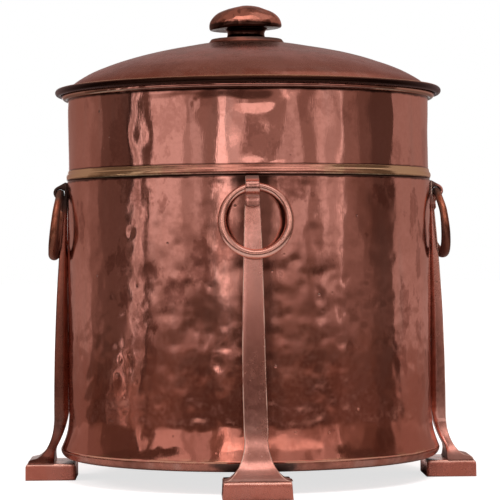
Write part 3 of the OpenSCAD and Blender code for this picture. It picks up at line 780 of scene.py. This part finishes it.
lid = {"wall": 169.3, "wallIn": 168.0, "valley": 364.3, "valleyLow": 363.0, "rise": 49.5, "dome": 171.01,
       "power": 0.69, "rollR": 179.4, "rollZ": 363.8, "roll": 3.3, "sheet": 1.3, "hole": 3.1, "steps": 384,
       "sunk": 2.0,  # the dome lies a little low outside the knob's plate
       "markFrom": 18, "markTo": 165, "markRow": 15.5, "markGap": 17, "markDepth": 0.32}


def domeZ(r):
    full = lid["valley"] + lid["rise"] * max(0.0, 1 - (r / lid["dome"]) ** 2) ** lid["power"]
    return full - lid["sunk"] * float(smoothStep(13, 31, r)) * (full - lid["valley"]) / lid["rise"]


def makeLid():
    steps = 84
    wall, wallIn, valley, valleyLow = lid["wall"], lid["wallIn"], lid["valley"], lid["valleyLow"]
    roll, rollZ, hole, sheet = lid["roll"], lid["rollZ"], lid["hole"], lid["sheet"]
    radii = [wall * math.sin(math.pi / 2 * i / steps) for i in range(steps + 1)]
    radii = [max(hole, r) for r in radii]
    top = [(r, domeZ(r)) for r in radii]
    under = [(max(hole, r * (wallIn / wall)), domeZ(r) - sheet) for r in radii[::-1]]
    rollEnd = math.degrees(math.asin((rollZ - valleyLow) / roll)) - 180
    rollStart = 180 - math.degrees(math.asin((valley - rollZ) / roll))
    outline = top + spaced([(wall, valley), (wall + 6, valley)], 1.5)[1:]
    outline += arcPoints(lid["rollR"], rollZ, roll, roll, rollStart, rollEnd, 22)
    outline += [(wallIn + 3, valleyLow)] + under
    verts, faces = turnOutline(outline, lid["steps"])
    draw = np.random.default_rng(31)
    centres, sizes, depths = [], [], []
    for row in np.arange(lid["markFrom"], lid["markTo"], lid["markRow"]):
        around = round(2 * math.pi * row / lid["markGap"])
        for k in range(around):
            a = (k + draw.uniform(-0.4, 0.4)) * 2 * math.pi / around
            r = row + draw.uniform(-6, 6)
            centres.append((r * math.cos(a), r * math.sin(a), domeZ(r)))
            sizes.append(draw.uniform(6, 11))
            depths.append(lid["markDepth"] * draw.uniform(0.1, 1) ** 1.4)
    marks = tuple(np.array(x) * mm for x in (centres, sizes, depths))
    inward = dentDepth(verts, *marks)
    inward += (waves(verts, (14, 14, 14), 3) + 0.6) * 0.7 * mm
    r = np.hypot(verts[:, 0], verts[:, 1]) / mm
    inward *= (1 - smoothStep(155, 167, r)) * smoothStep(30, 44, r)
    centre = np.array((0, 0, (lid["valley"] + lid["rise"] - 320) * mm))
    away = verts - centre
    away /= np.linalg.norm(away, axis=1)[:, None]
    verts -= away * inward[:, None]
    verts[:, 2] -= 0.9 * mm * smoothStep(40, 75, r) * (1 - smoothStep(120, 160, r))
    verts[:, 2] += waves(verts, (8, 8, 0), 6) * 0.6 * mm * smoothStep(174, 178, r)
    return makeObject("lidSheet", verts, faces, lidCopper, "lid", ["lid_dome"])


knob = {"neckZ": 414.43, "capZ": 424.73, "cap": 35.2, "capHeight": 22.0, "neck": 17.6, "plate": 36.0,
        "hole": 3.1, "aside": -2.0, "tilt": 2.3}


def beatTurned(verts, seed, size, depth, count, middle):
    # round marks all over a small turned piece, beaten towards its middle
    draw = np.random.default_rng(seed)
    picks = draw.choice(len(verts), count, replace=False)
    marks = (verts[picks], draw.uniform(0.7, 1.3, count) * size * mm,
             draw.uniform(0.3, 1.0, count) * depth * mm)
    inward = dentDepth(verts, *marks)
    away = verts - np.array(middle)
    away /= np.linalg.norm(away, axis=1)[:, None]
    return verts - away * inward[:, None]


def setAskew(verts, height, tilt, aside):
    # leans a turned piece over to the left about its own foot
    a = math.radians(-tilt)
    x, z = verts[:, 0].copy(), verts[:, 2] - height * mm
    verts[:, 0] = x * math.cos(a) + z * math.sin(a) + aside * mm
    verts[:, 2] = z * math.cos(a) - x * math.sin(a) + height * mm
    return verts


def makeKnob():
    edge, belly = 1.5, knob["capZ"] + 0.1 * knob["capHeight"]
    outline = [(0, knob["capZ"])] + spaced([(4, knob["capZ"]), (knob["cap"] - edge - 1, knob["capZ"])], 2)
    outline += arcPoints(knob["cap"] - edge, belly, edge, belly - knob["capZ"], -90, 0, 8)
    outline += arcPoints(0, belly, knob["cap"], knob["capZ"] + knob["capHeight"] - belly, 3, 90, 34)
    verts, faces = turnOutline(outline, 128, closed=False)
    verts = beatTurned(verts, 51, 5.6, 0.75, 80, (0, 0, (knob["capZ"] + 1) * mm))
    verts[:, 2] += waves(verts, (30, 30, 30), 52) * 0.9 * mm
    verts = setAskew(verts, knob["capZ"], knob["tilt"], knob["aside"])
    verts[:, 2] -= 0.4 * mm
    makeObject("knobCap", verts, faces, knobCopper, "lid", ["knob_cap"])
    waist = knob["neck"]
    high, low = knob["capZ"], knob["neckZ"]
    outline = [(knob["hole"], low), (waist + 2.6, low), (waist + 3, low + 0.4)]
    outline += arcPoints(waist + 3, (low + high) / 2, 3, (high - low) / 2 - 0.8, 270, 90, 14)
    outline += [(waist + 3, high - 0.4), (waist + 2.6, high), (knob["hole"], high)]
    verts, faces = turnOutline(outline, 96)
    verts[:, 0] += knob["aside"] * 0.7 * mm
    makeObject("knobNeck", verts, faces, knobCopper, "lid", ["knob_neck"])
    edgeR = knob["plate"]
    outline = [(r, domeZ(r) + 0.05) for r in np.linspace(knob["hole"], edgeR, 12)]
    outline += [(edgeR + 0.05, domeZ(edgeR) + 0.7), (edgeR - 0.4, domeZ(edgeR) + 1.3)]
    outline += arcPoints(edgeR - 2.8, low - 0.9, 0.8, 0.9, 20, 90, 4)
    outline += spaced([(edgeR - 2.8, low), (knob["hole"], low)], 3)[1:]
    verts, faces = turnOutline(outline, 128)
    verts[:, 0] -= 1.0 * mm
    makeObject("knobPlate", verts, faces, plateCopper, "lid", ["knob_plate"])


makeLid()
makeKnob()

keptNodes = {"rim_wire": wireSteel, "lid_wire": wireSteel, "lid_locating_ring": collarCopper,
             "leg_screws": screwBrass, "foot_screws": wireSteel, "knob_stud": wireSteel,
             "knob_washer": wireSteel, "knob_nut": wireSteel}
for nodeName, material in keptNodes.items():
    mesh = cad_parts[nodeName].data
    mesh.materials.clear()
    mesh.materials.append(material)
print("lid and knob made")


studio = {
    "wallRadius": 3.3, "wallHeight": 3.2, "paperRadius": 0.62,
    # cards round the room that the metal reflects: degrees from the front, from and to, the tone up high
    # and the tone down by the floor
    "cards": [
        (-166, -118, 0.32, 0.36), (-118, -106, 0.24, 0.18), (-106, -98, 0.13, 0.13), (-98, -80, 0.12, 0.12),
        (-80, -76.5, 0.06, 0.3), (-76.5, -74.5, 0.8, 0.7), (-74.5, -71.5, 0.42, 0.36),
        (-71.5, -69.5, 0.85, 0.55), (-69.5, -64, 0.12, 0.13), (-64, -42, 0.66, 0.22),
        (-42, -36, 0.40, 0.16), (-36, -29, 0.52, 0.15),
        (-29, -21, 0.26, 0.13), (-21, -14, 1.25, 0.13), (-14, -5, 0.62, 0.12), (-5, 10, 0.27, 0.12),
        (10, 16, 0.28, 0.13), (16, 31, 0.54, 0.17), (31, 41, 0.28, 0.13), (41, 47, 0.62, 0.14),
        (47, 54, 0.44, 0.2), (54, 57, 0.8, 0.25), (57, 70, 0.25, 0.2), (70, 80, 0.15, 0.19),
        (80, 98, 0.09, 0.13), (98, 150, 0.35, 0.42), (150, 166, 0.38, 0.38)],
    # brighter cards in front: degrees from and to, heights from and to, tone; then one overhead towards the
    # front, by its distances from the axis
    "brightCards": [(-12, 20, 0.62, 1.05, 1.0), (-20, -7, 0.85, 1.7, 1.7), (10, 45, 0.9, 1.6, 1.1)],
    "overhead": (-55, 55, 0.9, 2.9, 1.3),
    # dark cards: degrees from and to, heights from and to, tone
    "blackCards": [(-118, -45, 1.35, 1.9, 0.1), (52, 98, 1.35, 1.9, 0.1)],
    "ceiling": 0.32, "backTop": (166, 194, 0.9, 0.42), "sideTop": (60, 140, 0.5, 0.65),
    # strips of light on the floor: degrees from and to, nearest and furthest, tone
    "floorStrips": [(-85.5, -82.5, 0.85, 2.7, 1.0), (-93, -91.5, 0.85, 2.2, 0.5), (-22, -12, 1.6, 2.6, 0.25)],
}


def emptyTree(owner):
    owner.use_nodes = True
    owner.node_tree.nodes.clear()
    return owner.node_tree


def glowMaterial(name):
    # plain glow of the tones stored on the mesh; the camera doesn't see it
    material = bpy.data.materials.new(name)
    tree = emptyTree(material)
    tones = addNode(tree, "ShaderNodeAttribute", attribute_name="tone")
    parts = addNode(tree, "ShaderNodeSeparateColor", {0: tones.outputs["Color"]})
    place = addNode(tree, "ShaderNodeTexCoord").outputs["Object"]
    height = addNode(tree, "ShaderNodeSeparateXYZ", {0: place}).outputs[2]
    rise = remap(tree, height, 0.04, 0.28)
    spread = calc(tree, "SUBTRACT", parts.outputs[0], parts.outputs[1])
    tone = calc(tree, "ADD", parts.outputs[1], times(tree, spread, rise))
    warmth = remap(tree, tone, 0.05, 0.6)
    colour = blendColour(tree, warmth, (1.0, 0.62, 0.52), (0.99, 0.78, 0.76))
    glow = addNode(tree, "ShaderNodeEmission", {"Color": colour, "Strength": tone})
    clear = addNode(tree, "ShaderNodeBsdfTransparent")
    path = addNode(tree, "ShaderNodeLightPath")
    mix = addNode(tree, "ShaderNodeMixShader", {0: path.outputs["Is Camera Ray"], 1: glow.outputs[0],
                                                2: clear.outputs[0]})
    addNode(tree, "ShaderNodeOutputMaterial", {0: mix.outputs[0]})
    material.cycles.emission_sampling = "NONE"
    return material


def stageMesh(name, verts, faces, material, tones=None):
    mesh = bpy.data.meshes.new(name)
    mesh.from_pydata(verts, [], faces)
    if tones:
        layer = mesh.color_attributes.new("tone", "FLOAT_COLOR", "CORNER")
        for polygon, (high, low) in zip(mesh.polygons, tones):
            for corner in polygon.loop_indices:
                layer.data[corner].color = (high, low, 0, 1)
    mesh.materials.append(material)
    obj = bpy.data.objects.new(name, mesh)
    bpy.context.scene.collection.objects.link(obj)
    return obj


def ringPart(room, start, end, inner, outer, tone):
    # a strip between two circles, each (radius, height), in steps of about 3 degrees
    verts, faces, tones = room
    steps = max(1, round(abs(end - start) / 3))
    for k in range(steps):
        corners = []
        for degrees in (start + (end - start) * k / steps, start + (end - start) * (k + 1) / steps):
            a = math.radians(degrees)
            corners.append([(r * math.sin(a), -r * math.cos(a), z) for r, z in (inner, outer)])
        first = len(verts)
        verts += [corners[0][0], corners[0][1], corners[1][1], corners[1][0]]
        faces.append([first, first + 1, first + 2, first + 3])
        tones.append(tone)


def makeRoom():
    # dim room round the front and sides that the metal reflects
    room = [], [], []
    radius, height = studio["wallRadius"], studio["wallHeight"]
    for start, end, high, low in studio["cards"]:
        ringPart(room, start, end, (radius, 0.0), (radius, height), (high, low))
        dark = 0.7 * low
        near = studio["paperRadius"]
        ringPart(room, start, end, (near, 0.001), (radius, 0.001), (dark, dark))
    start, end, low, tone = studio["backTop"]
    ringPart(room, start, end, (radius, low), (radius, height), (tone, tone))
    ringPart(room, -180, 180, (0.0, height), (radius, height), (studio["ceiling"],) * 2)
    for start, end, low, high, tone in studio["blackCards"]:
        ringPart(room, start, end, (radius - 0.03, low), (radius - 0.03, high), (tone, tone))
    for start, end, near, far, tone in studio["floorStrips"]:
        ringPart(room, start, end, (near, 0.004), (far, 0.004), (tone, tone))
    start, end, near, tone = studio["sideTop"]
    ringPart(room, start, end, (near, height - 0.03), (radius, height - 0.03), (tone, tone))
    for start, end, low, high, tone in studio["brightCards"]:
        ringPart(room, start, end, (radius - 0.02, low), (radius - 0.02, high), (tone, tone))
    start, end, near, far, tone = studio["overhead"]
    ringPart(room, start, end, (near, height - 0.02), (far, height - 0.02), (tone, tone))
    verts, faces, tones = room
    stageMesh("roomCards", verts, faces, glowMaterial("roomGlow"), tones)


def makeFloor():
    # plain white paper; the camera sees it lifted to white, with the object's shadow left in it
    material = bpy.data.materials.new("paleFloor")
    tree = emptyTree(material)
    place = addNode(tree, "ShaderNodeTexCoord").outputs["Object"]
    mottle = noiseAt(tree, place, 3.0, 3.0)
    colour = blendColour(tree, remap(tree, mottle, 0.3, 0.7), (0.54, 0.54, 0.54), (0.57, 0.57, 0.57))
    plain = addNode(tree, "ShaderNodeBsdfDiffuse", {"Color": colour})
    away = placeParts(tree, place)["away"]
    lift = remap(tree, away, 0.25, 0.75, 0.72, 1.0)
    glow = addNode(tree, "ShaderNodeEmission", {"Color": (1, 1, 1, 1), "Strength": lift})
    both = addNode(tree, "ShaderNodeAddShader", {0: plain.outputs[0], 1: glow.outputs[0]})
    path = addNode(tree, "ShaderNodeLightPath")
    mix = addNode(tree, "ShaderNodeMixShader", {0: path.outputs["Is Camera Ray"], 1: plain.outputs[0],
                                                2: both.outputs[0]})
    addNode(tree, "ShaderNodeOutputMaterial", {0: mix.outputs[0]})
    stageMesh("floor", [(12 * math.cos(a), 12 * math.sin(a), 0) for a in np.radians(range(0, 360, 6))],
              [list(range(60))], material)


def makeWorld():
    world = bpy.data.worlds.new("studioAir")
    bpy.context.scene.world = world
    tree = emptyTree(world)
    path = addNode(tree, "ShaderNodeLightPath")
    seen = calc(tree, "MAXIMUM", path.outputs["Is Camera Ray"],
                calc(tree, "MAXIMUM", path.outputs["Is Glossy Ray"], path.outputs["Is Transmission Ray"]))
    dim = addNode(tree, "ShaderNodeBackground", {"Color": (1, 1, 1, 1), "Strength": 0.35})
    white = addNode(tree, "ShaderNodeBackground", {"Color": (1, 1, 1, 1), "Strength": 1.0})
    mix = addNode(tree, "ShaderNodeMixShader", {0: seen, 1: dim.outputs[0], 2: white.outputs[0]})
    addNode(tree, "ShaderNodeOutputWorld", {0: mix.outputs[0]})


def makeLamp(name, place, aim, size, power):
    data = bpy.data.lights.new(name, "AREA")
    data.shape = "RECTANGLE"
    data.size, data.size_y = size
    data.energy = power
    lamp = bpy.data.objects.new(name, data)
    bpy.context.scene.collection.objects.link(lamp)
    lamp.location = place
    lamp.rotation_euler = (Vector(aim) - Vector(place)).to_track_quat("-Z", "Y").to_euler()
    lamp.visible_glossy = False  # the metal reflects the room's cards instead


def makeCamera():
    distance, azimuth, height, roll = 2.1, math.radians(-1.7), 0.215, math.radians(0.42)
    data = bpy.data.cameras.new("camera")
    camera = bpy.data.objects.new("camera", data)
    bpy.context.scene.collection.objects.link(camera)
    data.sensor_width = 36
    data.lens = 159
    data.shift_x, data.shift_y = 0.002, -0.001
    camera.location = (distance * math.sin(azimuth), -distance * math.cos(azimuth), height)
    camera.rotation_mode = "XYZ"
    camera.rotation_euler = (math.pi / 2, roll, azimuth)
    data.clip_end = 60
    bpy.context.scene.camera = camera


makeRoom()
makeFloor()
makeWorld()
makeLamp("overhead", (0.3, -1.5, 2.3), (0, 0, 0.1), (1.5, 1.2), 46)
makeLamp("leftSoft", (-2.0, -0.6, 1.6), (0, 0, 0.1), (0.8, 1.0), 14)
makeCamera()
bpy.context.scene.view_settings.view_transform = "Standard"
print("studio made")
